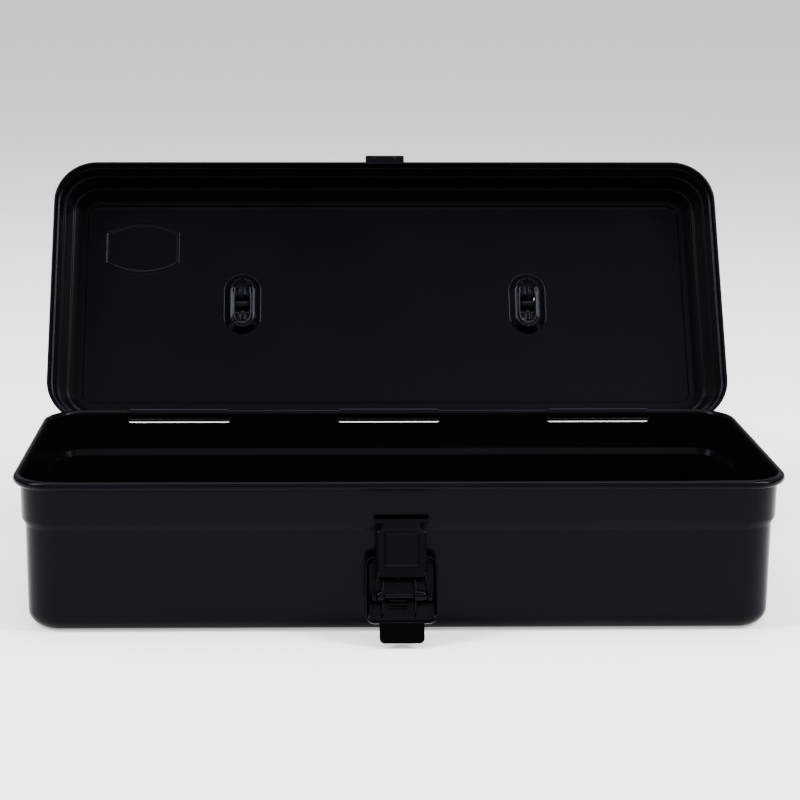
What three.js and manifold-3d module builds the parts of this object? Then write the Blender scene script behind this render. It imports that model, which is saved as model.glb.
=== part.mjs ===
// Steel toolbox: a pressed body with a rolled rim, a pressed lid hinged on that rim, a draw latch
// and a rod handle.
// Millimetres, +Z up, +Y to the back. The origin is the middle of the body's flat underside.
import * as THREE from "three";
import { mergeVertices } from "three/addons/utils/BufferGeometryUtils.js";
import Module from "manifold-3d";

const wasm = await Module();
wasm.setup();

// ---- driving dimensions ----
const sheet = 0.8; // thickness of the body, lid and lever sheet
const gap = 0.3; // clearance between pieces that touch

const lidWidth = 333;
const lidDepth = 137;
const lidCornerRadius = 21.2;
const lidOpenAngle = 120.7; // from closed to resting open
const rimOverhang = 1.5; // how far the lid's edge stands out past the body's rim
const lidOverlap = 1; // how far the lid's edge reaches down below the top of the rim

const bodyHeight = 67.7;
const rollDiameter = 3.9; // the rim's outward roll
const lowerWallInset = 4.7; // outer face of the lower wall, in from the rim's outer edge
const stepHeight = 47.2; // middle of the step between upper band and lower wall
const stepRise = 2.6;
const bottomRadius = 7;

const hingeSpacing = 101.5;
const tongueLength = 48.2;
const tongueSheet = 0.7;
const tongueStart = 30; // angles of the curl round the rim's roll
const tongueEnd = -164;
const slotEndClearance = 0.9;
const slotBelowRim = 6.2; // lower edge of the hinge slots, down from the top of the rim

const bandHeight = 7.6; // lid's tapered band above its edge
const bandInset = 3.9; // inner face of the band at its top, in from the lid's edge
const ledgeWidth = 1.2; // step at the top of the band
const ledgeRise = 1.1;
const slopeWidth = 2.8; // straight slope above the step
const slopeRise = 6.2;
const crownEase = 1.5; // how soon the slope turns over to the flat
const panelMargin = 2.4; // start of the flat, outside the raised panel's edge
const panelEdge = 1.4; // width of the raised panel's sloped edge
const hemThickness = 1.4;
const hemHeight = 2.2;
const panelInset = 15.8;
const panelDepth = 22.6; // inner face of the raised panel, above the lid's edge
const panelRaise = 1;

const recessSpacing = 144.4;
const recessMargin = 0.5; // bare floor outside each arm of the handle
const recessLength = 32.6;
const recessDepth = 2;
const recessSlope = 1.7;
const windowWidth = 7.2;
const windowLength = 16;
const bridgeWidth = 6.6;
const handleRod = 5;
const handleReach = 27; // from the pivot to the middle of the grip
const handleEndLength = 5.4; // rod end, inboard of the bridge's middle
const handleBend = 7;
const elbowEase = 0.4; // bend at each rod end, beyond the rod's own radius

const latchSheet = 0.7;
const keeperWidth = 19.4;
const keeperReach = 3.9;
const keeperLipHeight = 3.7;
const keeperLipThickness = 0.9;

const pivotOut = 7.9; // lever pivot, out from the lower wall
const pivotHeight = 29.2;
const leverOpenLean = 26; // lever below its pivot leans out from the wall, latch open
const leverClosedLean = 5;
const leverWidth = 30.6;
const leverAbovePivot = 21.2;
const leverBelowPivot = 7.2;
const leverDepth = 3.2;
const leverCornerRadius = 4;
const leverEdgeRadius = 1.6;
const tabWidth = 18.9;
const tabLength = 8.3;
const tabCornerRadius = 2.2;
const leverEarLength = 18.6; // foot of the lever's ears on the dish's floor, from the pivot
const linkPinUp = 9.9; // link pin from the lever pivot, along the lever
const linkPinBack = 2.5; // and towards the wall
const hookBehindLip = 0.05; // middle of the hook's curl when latched, in from the middle of the lip
const hookBelowLip = 0.4; // and down from the lip's top
const hookInnerRadius = 1;
const linkWidth = 20.9;
const linkLegSpread = 1.3; // each leg flares out this far below the plate
const linkPlateStart = 8.4; // lower edge of the plate, up from the link pin
const linkSquare = 15.2; // width of the raised square
const linkSquareMargin = 3.65; // plate above and below the raised square
const linkSquareRaise = 0.6;
const bracketShift = -1.2; // the lever's bracket sits off centre
const bracketInside = 13;
const earRadius = 2.4;
const pinDiameter = 2.2;
const pinHeadDiameter = 4.2;
const baseBottom = 10.5;
const baseRivetDrop = 6.5; // each base rivet, below the pivot and below the other rivet
const rivetHeadDiameter = 4.6;
const rivetHeadThickness = 0.9;

// ---- mesh fineness ----
const cornerSteps = 6;
const arcSteps = 8;
const holeSteps = 14;
const bendSteps = 5;
const rodSides = 10;

// ---- worked-out dimensions ----
const rimWidth = lidWidth - 2 * rimOverhang;
const rimDepth = lidDepth - 2 * rimOverhang;
const rimCornerRadius = lidCornerRadius - rimOverhang;
const rollRadius = rollDiameter / 2;
const wallInset = rollDiameter - sheet; // outer face of the upper band
const hingeY = rimDepth / 2 - rollRadius;
const hingeZ = bodyHeight - rollRadius;
const lidEdgeZ = bodyHeight - lidOverlap; // closed
const tongueInner = rollRadius + gap;
const tongueOuter = tongueInner + tongueSheet;
const frontWallY = -(rimDepth / 2 - lowerWallInset);
const panelTopZ = lidEdgeZ + panelDepth + sheet; // closed
const leverWallOut = gap; // how far the open edge of the lever's dish is out from its pivot
const leverFaceOut = leverWallOut + leverDepth;
const recessWidth = bridgeWidth + 2 * (gap + handleRod + gap + recessMargin);
const hookOut = lowerWallInset + rimOverhang + keeperReach - keeperLipThickness / 2 - hookBehindLip;
const hookHeight = lidEdgeZ + keeperLipHeight - hookBelowLip;

// ---- general helpers ----
const deg = THREE.MathUtils.degToRad;

function material(color, roughness, metalness) {
  return new THREE.MeshStandardMaterial({ color, roughness, metalness });
}

// A closed three.js geometry as a solid that can be cut and joined.
function solid(geometry) {
  let clean = geometry.clone();
  clean.deleteAttribute("normal");
  clean.deleteAttribute("uv");
  clean = mergeVertices(clean, 1e-4);
  const vertProperties = Float32Array.from(clean.attributes.position.array);
  const triVerts = Uint32Array.from(clean.index.array);
  return new wasm.Manifold(new wasm.Mesh({ numProp: 3, vertProperties, triVerts }));
}

function geometryOf(body) {
  const mesh = body.getMesh();
  const geometry = new THREE.BufferGeometry();
  geometry.setAttribute("position", new THREE.Float32BufferAttribute(mesh.vertProperties, 3));
  geometry.setIndex(Array.from(mesh.triVerts));
  geometry.computeVertexNormals();
  return geometry;
}

function piece(name, body, look) {
  const mesh = new THREE.Mesh(geometryOf(body), look);
  mesh.name = name;
  return mesh;
}

function cylinderX(radius, x0, x1, y, z) {
  const geometry = new THREE.CylinderGeometry(radius, radius, x1 - x0, holeSteps);
  geometry.rotateZ(Math.PI / 2);
  geometry.translate((x0 + x1) / 2, y, z);
  return solid(geometry);
}

function cylinderY(radius, y0, y1, x, z) {
  const geometry = new THREE.CylinderGeometry(radius, radius, y1 - y0, holeSteps);
  geometry.translate(x, (y0 + y1) / 2, z);
  return solid(geometry);
}

function block(x0, x1, y0, y1, z0, z1) {
  const geometry = new THREE.BoxGeometry(x1 - x0, y1 - y0, z1 - z0);
  geometry.translate((x0 + x1) / 2, (y0 + y1) / 2, (z0 + z1) / 2);
  return solid(geometry);
}

// A shape drawn in the Y-Z plane, extruded along X from x0 to x1.
function extrudeX(shape, x0, x1) {
  const geometry = new THREE.ExtrudeGeometry(shape, {
    depth: x1 - x0, bevelEnabled: false, curveSegments: arcSteps });
  const turn = new THREE.Matrix4().set(0, 0, 1, x0, 1, 0, 0, 0, 0, 1, 0, 0, 0, 0, 0, 1);
  return solid(geometry.applyMatrix4(turn));
}

// A closed outline in X-Y: a rectangle with round corners, always with the same number of points.
function roundedOutline(width, depth, radius) {
  const points = [];
  for (let corner = 0; corner < 4; corner++) {
    const sideX = corner === 0 || corner === 3 ? 1 : -1;
    const sideY = corner < 2 ? 1 : -1;
    for (let i = 0; i <= cornerSteps; i++) {
      const angle = deg(90 * corner + (90 * i) / cornerSteps);
      points.push(new THREE.Vector2(
        sideX * (width / 2 - radius) + radius * Math.cos(angle),
        sideY * (depth / 2 - radius) + radius * Math.sin(angle)));
    }
  }
  return points;
}

// Joins outlines, each { points, z }, in order into a closed skin with a flat cap at each end.
function loft(levels) {
  const count = levels[0].points.length;
  const positions = [];
  for (const level of levels) {
    for (const point of level.points) {
      positions.push(point.x, point.y, level.z);
    }
  }
  const index = [];
  for (let k = 0; k + 1 < levels.length; k++) {
    for (let i = 0; i < count; i++) {
      const next = (i + 1) % count;
      const a = k * count + i;
      const b = k * count + next;
      const c = (k + 1) * count + next;
      const d = (k + 1) * count + i;
      index.push(a, b, c, a, c, d);
    }
  }
  const last = (levels.length - 1) * count;
  for (let i = 1; i + 1 < count; i++) {
    index.push(0, i + 1, i);
    index.push(last, last + i, last + i + 1);
  }
  const geometry = new THREE.BufferGeometry();
  geometry.setAttribute("position", new THREE.Float32BufferAttribute(positions, 3));
  geometry.setIndex(index);
  return solid(geometry);
}

// The same path moved sideways by a distance, to the left of its direction.
function offsetPath(path, distance) {
  return path.map((point, i) => {
    const before = path[Math.max(i - 1, 0)];
    const after = path[Math.min(i + 1, path.length - 1)];
    const into = point.clone().sub(before).normalize();
    const out = after.clone().sub(point).normalize();
    if (i === 0) into.copy(out);
    if (i === path.length - 1) out.copy(into);
    const normal = new THREE.Vector2(-(into.y + out.y), into.x + out.x).normalize();
    const miter = distance / Math.max(normal.x * -into.y + normal.y * into.x, 0.5);
    return point.clone().addScaledVector(normal, miter);
  });
}

function arcPath(cx, cy, radius, from, to, steps) {
  const points = [];
  for (let i = 0; i <= steps; i++) {
    const angle = deg(from + ((to - from) * i) / steps);
    points.push(new THREE.Vector2(cx + radius * Math.cos(angle), cy + radius * Math.sin(angle)));
  }
  return points;
}

// ---- body ----
// Section points are (distance in from the rim's outer edge, height).
function bodySection() {
  const lower = lowerWallInset + sheet / 2;
  const upper = wallInset + sheet / 2;
  const half = sheet / 2;
  const curl = rollRadius - half;
  const path = [
    ...arcPath(lower + bottomRadius, half + bottomRadius, bottomRadius, 270, 180, bendSteps),
    new THREE.Vector2(lower, stepHeight - stepRise / 2),
    new THREE.Vector2(upper, stepHeight + stepRise / 2),
    ...arcPath(rollRadius, hingeZ, curl, 0, 270, arcSteps),
  ];
  return { outer: offsetPath(path, half), inner: offsetPath(path, -half) };
}

function rimLevel(point) {
  const inset = point.x;
  const points = roundedOutline(rimWidth - 2 * inset, rimDepth - 2 * inset, rimCornerRadius - inset);
  return { points, z: point.y };
}

function bodyPan(look) {
  const section = bodySection();
  const profile = [...section.outer, ...section.inner.reverse()];
  let body = loft(profile.map(rimLevel));
  const slotHalf = tongueLength / 2 + slotEndClearance;
  const slotTop = hingeZ - sheet;
  const slotBottom = bodyHeight - slotBelowRim;
  const outside = rimDepth / 2 - wallInset + gap;
  const inside = rimDepth / 2 - rollDiameter - gap;
  for (const x of hingeMiddles()) {
    body = body.subtract(block(x - slotHalf, x + slotHalf, inside, outside, slotBottom, slotTop));
  }
  for (const z of baseRivetHeights()) {
    const y0 = frontWallY - sheet;
    const y1 = frontWallY + 2 * sheet;
    body = body.subtract(cylinderY(pinDiameter / 2 + gap, y0, y1, bracketShift, z));
  }
  return piece("body_pan", body, look);
}

function hingeMiddles() {
  return [-hingeSpacing, 0, hingeSpacing];
}

// ---- lid, drawn closed, with its origin on the hinge axis ----
// Section points are (distance in from the lid's outer edge, height above that edge).
function lidInside() {
  const wallFoot = new THREE.Vector2(bandInset + ledgeWidth, bandHeight + ledgeRise);
  const shoulder = new THREE.Vector2(wallFoot.x + slopeWidth, wallFoot.y + slopeRise);
  const flat = panelDepth - panelRaise;
  const round = new THREE.QuadraticBezierCurve(
    shoulder,
    new THREE.Vector2(shoulder.x + crownEase, flat),
    new THREE.Vector2(panelInset - panelMargin, flat));
  return [
    new THREE.Vector2(panelInset, panelDepth),
    new THREE.Vector2(panelInset - panelEdge, flat),
    ...round.getPoints(bendSteps).reverse(),
    wallFoot,
    new THREE.Vector2(bandInset, bandHeight),
    new THREE.Vector2(hemThickness, sheet / 2),
  ];
}

function lidSection() {
  const inside = lidInside();
  const outside = offsetPath(inside, -sheet);
  const ease = sheet / 3;
  outside.pop();
  const hem = [
    new THREE.Vector2(hemThickness - ease, 0),
    new THREE.Vector2(ease, 0),
    new THREE.Vector2(0, ease),
    new THREE.Vector2(0, hemHeight - ease),
    new THREE.Vector2(ease, hemHeight),
    new THREE.Vector2(hemThickness, hemHeight + ease),
  ];
  return [...inside, ...hem, ...outside.reverse()];
}

function lidLevel(point) {
  const inset = point.x;
  const points = roundedOutline(lidWidth - 2 * inset, lidDepth - 2 * inset, lidCornerRadius - inset);
  for (const p of points) p.y -= hingeY;
  return { points, z: point.y + lidEdgeZ - hingeZ };
}

function stadium(width, length, x, y) {
  const points = roundedOutline(width, length, width / 2 - gap / 10);
  for (const p of points) p.add(new THREE.Vector2(x, y));
  return points;
}

// A hinge tongue: the lid's edge carried on in a curl round the body's rim roll.
function tongue(x) {
  const shape = new THREE.Shape();
  shape.absarc(0, 0, tongueOuter, deg(tongueStart), deg(tongueEnd), true);
  shape.absarc(0, 0, tongueInner, deg(tongueEnd), deg(tongueStart), false);
  return extrudeX(shape, x - tongueLength / 2, x + tongueLength / 2);
}

// The handle's seat: an oval recess with a window, and over the window a strip pressed up as a bridge.
function recessed(lid, x) {
  const top = panelTopZ - hingeZ;
  const under = top - sheet;
  const y = -hingeY;
  const narrow = 2 * recessSlope;
  const bump = loft([
    { points: stadium(recessWidth - narrow, recessLength - narrow, x, y), z: under - recessDepth },
    { points: stadium(recessWidth + sheet, recessLength + sheet, x, y), z: top - sheet / 2 },
  ]);
  const pocket = loft([
    { points: stadium(recessWidth - narrow, recessLength - narrow, x, y), z: top - recessDepth },
    { points: stadium(recessWidth, recessLength, x, y), z: top },
    { points: stadium(recessWidth, recessLength, x, y), z: top + sheet },
  ]);
  const half = windowWidth / 2;
  const window = block(x - half, x + half, y - windowLength / 2, y + windowLength / 2,
    under - recessDepth - sheet, top);
  return lid.add(bump).subtract(pocket).subtract(window).add(bridge(x, y, top - recessDepth));
}

function bridge(x, y, floor) {
  const rise = gap + handleRod + gap + sheet / 2;
  const end = windowLength / 2 + sheet;
  const almost = 0.98; // the arch stops just short of upright at its feet
  const path = [new THREE.Vector2(y - end, floor - sheet / 2)];
  for (let i = 0; i <= arcSteps; i++) {
    const t = -1 + (2 * i) / arcSteps;
    const along = (t * almost * windowLength) / 2;
    path.push(new THREE.Vector2(y + along, floor + rise * Math.sqrt(1 - t * t * almost)));
  }
  path.push(new THREE.Vector2(y + end, floor - sheet / 2));
  const shape = new THREE.Shape([
    ...offsetPath(path, sheet / 2), ...offsetPath(path, -sheet / 2).reverse()]);
  return extrudeX(shape, x - bridgeWidth / 2, x + bridgeWidth / 2);
}

function lidShell(look) {
  let lid = loft(lidSection().map(lidLevel));
  for (const x of hingeMiddles()) {
    lid = lid.add(tongue(x));
  }
  for (const side of [-1, 1]) {
    lid = recessed(lid, (side * recessSpacing) / 2);
  }
  lid = lid.add(keeperTongue());
  return piece("lid_shell", lid, look);
}

// ---- keeper: a tongue of the lid's front edge, bent out and turned up ----
const lidFrontY = -(lidDepth / 2) - hingeY;
const lidEdgeUp = lidEdgeZ - hingeZ;

function keeperTongue() {
  const half = keeperWidth / 2;
  const front = lidFrontY - keeperReach;
  const shape = new THREE.Shape([
    new THREE.Vector2(front, lidEdgeUp),
    new THREE.Vector2(lidFrontY + hemThickness / 2, lidEdgeUp),
    new THREE.Vector2(lidFrontY + hemThickness / 2, lidEdgeUp + keeperLipThickness),
    new THREE.Vector2(front + keeperLipThickness, lidEdgeUp + keeperLipThickness),
    new THREE.Vector2(front + keeperLipThickness, lidEdgeUp + keeperLipHeight),
    new THREE.Vector2(front, lidEdgeUp + keeperLipHeight),
  ]);
  return extrudeX(shape, -half, half);
}

// ---- handle, folded back flat, with its origin on its own pivot axis ----
function handlePath() {
  const path = new THREE.CurvePath();
  const inner = recessSpacing / 2 - handleEndLength;
  const arm = recessSpacing / 2 + bridgeWidth / 2 + gap + handleRod / 2;
  const elbow = handleRod / 2 + elbowEase;
  const at = (x, y) => new THREE.Vector3(x, y, 0);
  const bend = (a, b, c) => path.add(new THREE.QuadraticBezierCurve3(a, b, c));
  const line = (a, b) => path.add(new THREE.LineCurve3(a, b));
  line(at(-inner, 0), at(-arm + elbow, 0));
  bend(at(-arm + elbow, 0), at(-arm, 0), at(-arm, elbow));
  line(at(-arm, elbow), at(-arm, handleReach - handleBend));
  bend(at(-arm, handleReach - handleBend), at(-arm, handleReach), at(-arm + handleBend, handleReach));
  line(at(-arm + handleBend, handleReach), at(arm - handleBend, handleReach));
  bend(at(arm - handleBend, handleReach), at(arm, handleReach), at(arm, handleReach - handleBend));
  line(at(arm, handleReach - handleBend), at(arm, elbow));
  bend(at(arm, elbow), at(arm, 0), at(arm - elbow, 0));
  line(at(arm - elbow, 0), at(inner, 0));
  return path;
}

// The whole rod: rings of points across each stretch of the path, widened in the bends to keep its thickness.
function handle(look) {
  const full = handlePath();
  const points = [];
  for (const curve of full.curves) {
    const steps = curve instanceof THREE.LineCurve3 ? 1 : bendSteps;
    for (let i = points.length === 0 ? 0 : 1; i <= steps; i++) {
      points.push(curve.getPoint(i / steps));
    }
  }
  const rings = points.map((point, i) => {
    const before = points[Math.max(i - 1, 0)];
    const after = points[Math.min(i + 1, points.length - 1)];
    const into = point.clone().sub(before).normalize();
    const out = after.clone().sub(point).normalize();
    if (i === 0) into.copy(out);
    if (i === points.length - 1) out.copy(into);
    const along = into.clone().add(out).normalize();
    const side = new THREE.Vector3(-along.y, along.x, 0);
    const stretch = 1 / Math.max(along.dot(into), 0.5);
    return { point, side, stretch };
  });
  return piece("handle", sweep(rings, handleRod / 2), look);
}

function sweep(rings, radius) {
  const count = rodSides;
  const positions = [];
  for (const ring of rings) {
    for (let i = 0; i < count; i++) {
      const angle = (2 * Math.PI * i) / count;
      const across = radius * Math.cos(angle) * ring.stretch;
      positions.push(ring.point.x + ring.side.x * across, ring.point.y + ring.side.y * across,
        radius * Math.sin(angle));
    }
  }
  const index = [];
  for (let k = 0; k + 1 < rings.length; k++) {
    for (let i = 0; i < count; i++) {
      const a = k * count + i;
      const b = k * count + ((i + 1) % count);
      index.push(a, b, a + count, b, b + count, a + count);
    }
  }
  const last = (rings.length - 1) * count;
  for (let i = 1; i + 1 < count; i++) {
    index.push(0, i + 1, i);
    index.push(last, last + i, last + i + 1);
  }
  const geometry = new THREE.BufferGeometry();
  geometry.setAttribute("position", new THREE.Float32BufferAttribute(positions, 3));
  geometry.setIndex(index);
  return solid(geometry);
}

// ---- latch ----
// Lever and link are drawn upright: X across, Z up along the piece, and -Y away from the box.
const leverFlip = 180 - leverOpenLean;
const leverOpen = new THREE.Vector2(Math.sin(deg(leverFlip)), Math.cos(deg(leverFlip)));
const leverClosed = new THREE.Vector2(Math.sin(deg(leverClosedLean)), Math.cos(deg(leverClosedLean)));
const bandOut = lowerWallInset - wallInset;
const hookOuterRadius = hookInnerRadius + latchSheet;
const earInner = bracketInside / 2; // lever's ears, from the bracket's middle
const baseEarInner = earInner + latchSheet + gap;
const baseEarOuter = baseEarInner + latchSheet;
const legInner = linkWidth / 2 + linkLegSpread - latchSheet;
const legOuter = legInner + latchSheet;

// Where the link pin is for one direction of the lever, as (out from the wall, height).
function linkPinAt(direction) {
  return new THREE.Vector2(
    pivotOut + linkPinUp * direction.x - linkPinBack * direction.y,
    pivotHeight + linkPinUp * direction.y + linkPinBack * direction.x);
}

const latchedPin = linkPinAt(leverClosed);
const openPin = linkPinAt(leverOpen);
const linkLength = Math.hypot(hookOut - latchedPin.x, hookHeight - latchedPin.y);
const hookRestOut = bandOut + hookOuterRadius + gap;
const linkOpenLean = linkRestLean();

// The hanging link leans in until its hook meets the band, or its plate meets the ears on the base.
function linkRestLean() {
  const onBand = Math.asin((hookRestOut - openPin.x) / linkLength);
  const across = openPin.x - pivotOut;
  const down = pivotHeight - openPin.y;
  const clear = earRadius + gap - hookInnerRadius;
  const onEars = Math.atan2(down, across) - Math.acos(clear / Math.hypot(across, down));
  return Math.max(onBand, onEars);
}

function baseRivetHeights() {
  return [pivotHeight - 2 * baseRivetDrop, pivotHeight - baseRivetDrop];
}

function latchBase(look) {
  const wall = frontWallY - gap;
  const front = wall - latchSheet;
  const pivotY = frontWallY - pivotOut;
  const baseTop = pivotHeight + earRadius;
  let body = block(bracketShift - baseEarOuter, bracketShift + baseEarOuter, front, wall,
    baseBottom, baseTop);
  const ear = new THREE.Shape();
  ear.moveTo(front + latchSheet / 2, pivotHeight - earRadius);
  ear.lineTo(front + latchSheet / 2, baseTop);
  ear.lineTo(pivotY, baseTop);
  ear.absarc(pivotY, pivotHeight, earRadius, deg(90), deg(270), false);
  for (const side of [-1, 1]) {
    const x = [side * baseEarInner, side * baseEarOuter].map((v) => v + bracketShift);
    body = body.add(extrudeX(ear, Math.min(...x), Math.max(...x)));
  }
  const reach = baseEarOuter + gap;
  body = body.subtract(cylinderX(pinDiameter / 2 + gap, bracketShift - reach, bracketShift + reach,
    pivotY, pivotHeight));
  for (const z of baseRivetHeights()) {
    body = body.subtract(cylinderY(pinDiameter / 2 + gap, front - gap, wall + gap, bracketShift, z));
  }
  return piece("latch_base", body, look);
}

function baseRivet(name, z, look) {
  const front = frontWallY - gap - latchSheet - gap;
  const back = frontWallY + sheet + gap;
  const head = rivetHeadDiameter / 2;
  const body = cylinderY(pinDiameter / 2, front - gap, back + gap, bracketShift, z)
    .add(cylinderY(head, front - rivetHeadThickness, front, bracketShift, z))
    .add(cylinderY(head, back, back + rivetHeadThickness, bracketShift, z));
  return piece(name, body, look);
}

function headedPin(name, x0, x1, look) {
  const head = pinHeadDiameter / 2;
  const body = cylinderX(pinDiameter / 2, x0 - gap, x1 + gap, 0, 0)
    .add(cylinderX(head, x0 - sheet, x0, 0, 0))
    .add(cylinderX(head, x1, x1 + sheet, 0, 0));
  return piece(name, body, look);
}

// The lever's dish, opening towards the box when latched.
function leverDish() {
  const flat = leverFaceOut - sheet;
  const round = leverEdgeRadius - sheet;
  const chamfer = leverEdgeRadius * (1 - Math.SQRT1_2);
  const section = [
    [sheet + round, flat], [sheet, flat - round], [sheet, leverWallOut], [0, leverWallOut],
    [0, leverFaceOut - leverEdgeRadius], [chamfer, leverFaceOut - chamfer],
    [leverEdgeRadius, leverFaceOut],
  ];
  const length = leverAbovePivot + leverBelowPivot;
  const levels = section.map(([inset, z]) => ({
    points: roundedOutline(leverWidth - 2 * inset, length - 2 * inset, leverCornerRadius - inset), z }));
  return loft(levels).translate([0, (leverAbovePivot - leverBelowPivot) / 2, 0]).rotate([90, 0, 0]);
}

function leverTab() {
  const half = tabWidth / 2;
  const end = leverAbovePivot + tabLength;
  const shape = new THREE.Shape();
  shape.moveTo(-half, leverAbovePivot - sheet / 2);
  shape.lineTo(half, leverAbovePivot - sheet / 2);
  shape.lineTo(half, end - tabCornerRadius);
  shape.quadraticCurveTo(half, end, half - tabCornerRadius, end);
  shape.lineTo(tabCornerRadius - half, end);
  shape.quadraticCurveTo(-half, end, -half, end - tabCornerRadius);
  const geometry = new THREE.ExtrudeGeometry(shape, { depth: sheet, bevelEnabled: false, curveSegments: 4 });
  geometry.rotateX(Math.PI / 2);
  geometry.translate(0, -leverWallOut, 0);
  return solid(geometry);
}

// The two ears inside the dish carry both pins.
function leverEar(x0, x1) {
  const floor = -(leverFaceOut - sheet / 2);
  const shape = new THREE.Shape();
  shape.moveTo(0, -earRadius);
  shape.absarc(0, 0, earRadius, deg(-90), deg(60), false);
  shape.absarc(linkPinBack, linkPinUp, earRadius, deg(-20), deg(75), false);
  shape.lineTo(floor, leverEarLength);
  shape.lineTo(floor, earRadius);
  return extrudeX(shape, x0, x1);
}

function latchLever(look) {
  const notchHalf = baseEarOuter + 2 * gap;
  let body = leverDish().add(leverTab());
  body = body.subtract(block(bracketShift - notchHalf, bracketShift + notchHalf,
    -leverFaceOut - gap, 0, -leverBelowPivot - gap, earRadius - gap));
  const left = bracketShift - earInner;
  const right = bracketShift + earInner;
  body = body.add(leverEar(left - latchSheet, left)).add(leverEar(right, right + latchSheet));
  const reach = earInner + latchSheet + gap;
  const bore = pinDiameter / 2 + gap;
  body = body.subtract(cylinderX(bore, bracketShift - reach, bracketShift + reach, 0, 0));
  body = body.subtract(cylinderX(bore, bracketShift - reach, bracketShift + reach, linkPinBack, linkPinUp));
  return piece("latch_lever", body, look);
}

function latchLink(look) {
  const inner = -hookInnerRadius;
  const outer = -hookOuterRadius;
  const half = linkWidth / 2;
  const square = linkSquare / 2;
  const middle = (linkPlateStart + linkLength) / 2;
  const tall = (linkLength - linkPlateStart) / 2 - linkSquareMargin;
  const plate = new THREE.Shape();
  plate.moveTo(outer, linkPlateStart);
  plate.lineTo(inner, linkPlateStart);
  plate.absarc(0, linkLength, hookInnerRadius, deg(180), deg(-30), true);
  plate.absarc(0, linkLength, hookOuterRadius, deg(-30), deg(180), false);
  let body = extrudeX(plate, -half, half);
  body = body.add(block(-square, square, outer - linkSquareRaise, inner - gap, middle - tall, middle + tall));
  const hollow = square - latchSheet;
  const hollowTall = tall - latchSheet;
  body = body.subtract(block(-hollow, hollow, inner - linkSquareRaise, inner + gap,
    middle - hollowTall, middle + hollowTall));
  body = body.add(block(-legOuter, legOuter, outer, inner,
    linkPlateStart - latchSheet, linkPlateStart + sheet));
  const leg = new THREE.Shape();
  leg.moveTo(earRadius, 0);
  leg.lineTo(inner, linkPlateStart);
  leg.lineTo(outer, linkPlateStart);
  leg.absarc(0, 0, earRadius, deg(180), deg(360), false);
  body = body.add(extrudeX(leg, -legOuter, -legInner)).add(extrudeX(leg, legInner, legOuter));
  body = body.subtract(cylinderX(pinDiameter / 2 + gap, -legOuter - gap, legOuter + gap, 0, 0));
  return piece("latch_link", body, look);
}

// ---- assembly, lid open and latch hanging open ----
const blackPaint = material(0x141518, 0.42, 0.1);
const blackSteel = material(0x1d1e21, 0.35, 0.5);

const root = new THREE.Group();
root.name = "toolbox";
root.add(bodyPan(blackPaint));

const lid = new THREE.Group();
lid.name = "lid";
lid.position.set(0, hingeY, hingeZ);
lid.rotation.x = deg(-lidOpenAngle);
lid.add(lidShell(blackPaint));
root.add(lid);

const bail = handle(blackSteel);
bail.position.set(0, -hingeY, panelTopZ - hingeZ - recessDepth + gap + handleRod / 2);
bail.rotation.x = deg(lidOpenAngle - 90);
lid.add(bail);

root.add(latchBase(blackSteel));
baseRivetHeights().forEach((z, i) => root.add(baseRivet("base_rivet_" + (i + 1), z, blackSteel)));

const pivotReach = baseEarOuter + gap;
const pivotPin = headedPin("pivot_pin", bracketShift - pivotReach, bracketShift + pivotReach, blackSteel);
pivotPin.position.set(0, frontWallY - pivotOut, pivotHeight);
root.add(pivotPin);

const lever = new THREE.Group();
lever.name = "lever";
lever.position.set(0, frontWallY - pivotOut, pivotHeight);
lever.rotation.x = deg(leverFlip);
lever.add(latchLever(blackPaint));
const linkPin = headedPin("link_pin", -legOuter - gap, legOuter + gap, blackSteel);
linkPin.position.set(0, linkPinBack, linkPinUp);
lever.add(linkPin);
root.add(lever);

const link = latchLink(blackPaint);
link.position.set(0, frontWallY - openPin.x, openPin.y);
link.rotation.x = linkOpenLean;
root.add(link);

export default root;
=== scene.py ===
# A pressed-steel toolbox standing open on a pale floor.
# Sizes are in millimetres until `mesh` scales them.
import math

import bmesh
import bpy
from mathutils import Matrix, Vector


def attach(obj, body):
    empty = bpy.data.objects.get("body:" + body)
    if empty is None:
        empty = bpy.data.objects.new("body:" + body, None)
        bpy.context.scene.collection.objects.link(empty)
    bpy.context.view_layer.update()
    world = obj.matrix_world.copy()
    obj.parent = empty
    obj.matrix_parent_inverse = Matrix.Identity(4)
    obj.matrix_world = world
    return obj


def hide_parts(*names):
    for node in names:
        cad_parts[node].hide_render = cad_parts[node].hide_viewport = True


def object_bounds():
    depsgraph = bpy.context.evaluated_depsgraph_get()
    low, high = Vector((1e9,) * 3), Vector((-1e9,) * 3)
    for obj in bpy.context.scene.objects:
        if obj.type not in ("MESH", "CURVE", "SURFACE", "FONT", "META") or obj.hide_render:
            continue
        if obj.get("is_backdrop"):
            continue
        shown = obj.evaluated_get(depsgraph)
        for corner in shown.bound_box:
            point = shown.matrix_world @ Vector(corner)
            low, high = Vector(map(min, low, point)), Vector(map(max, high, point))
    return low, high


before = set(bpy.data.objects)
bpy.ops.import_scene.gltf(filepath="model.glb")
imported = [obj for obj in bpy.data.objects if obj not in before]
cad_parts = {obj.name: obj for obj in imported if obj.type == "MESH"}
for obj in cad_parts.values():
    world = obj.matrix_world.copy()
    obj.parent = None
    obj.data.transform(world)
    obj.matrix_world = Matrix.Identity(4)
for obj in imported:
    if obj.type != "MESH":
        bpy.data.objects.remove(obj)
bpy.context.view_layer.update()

# ---------------------------------------------------------------------------
# Body: one deep pan of 0.8 mm steel sheet, drawn in a press and stepped in below its upper band, with
# its rim rolled outward and three slots pierced under the roll at the back. Black enamel, baked on.
# ---------------------------------------------------------------------------
MM = 0.001
SHEET = 0.8
RIM_W, RIM_D, RIM_R = 330.0, 134.0, 19.7
BODY_H = 67.7
ROLL = 3.9
LOWER_IN = 4.7
STEP_Z, STEP_RISE = 47.2, 2.6
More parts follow.
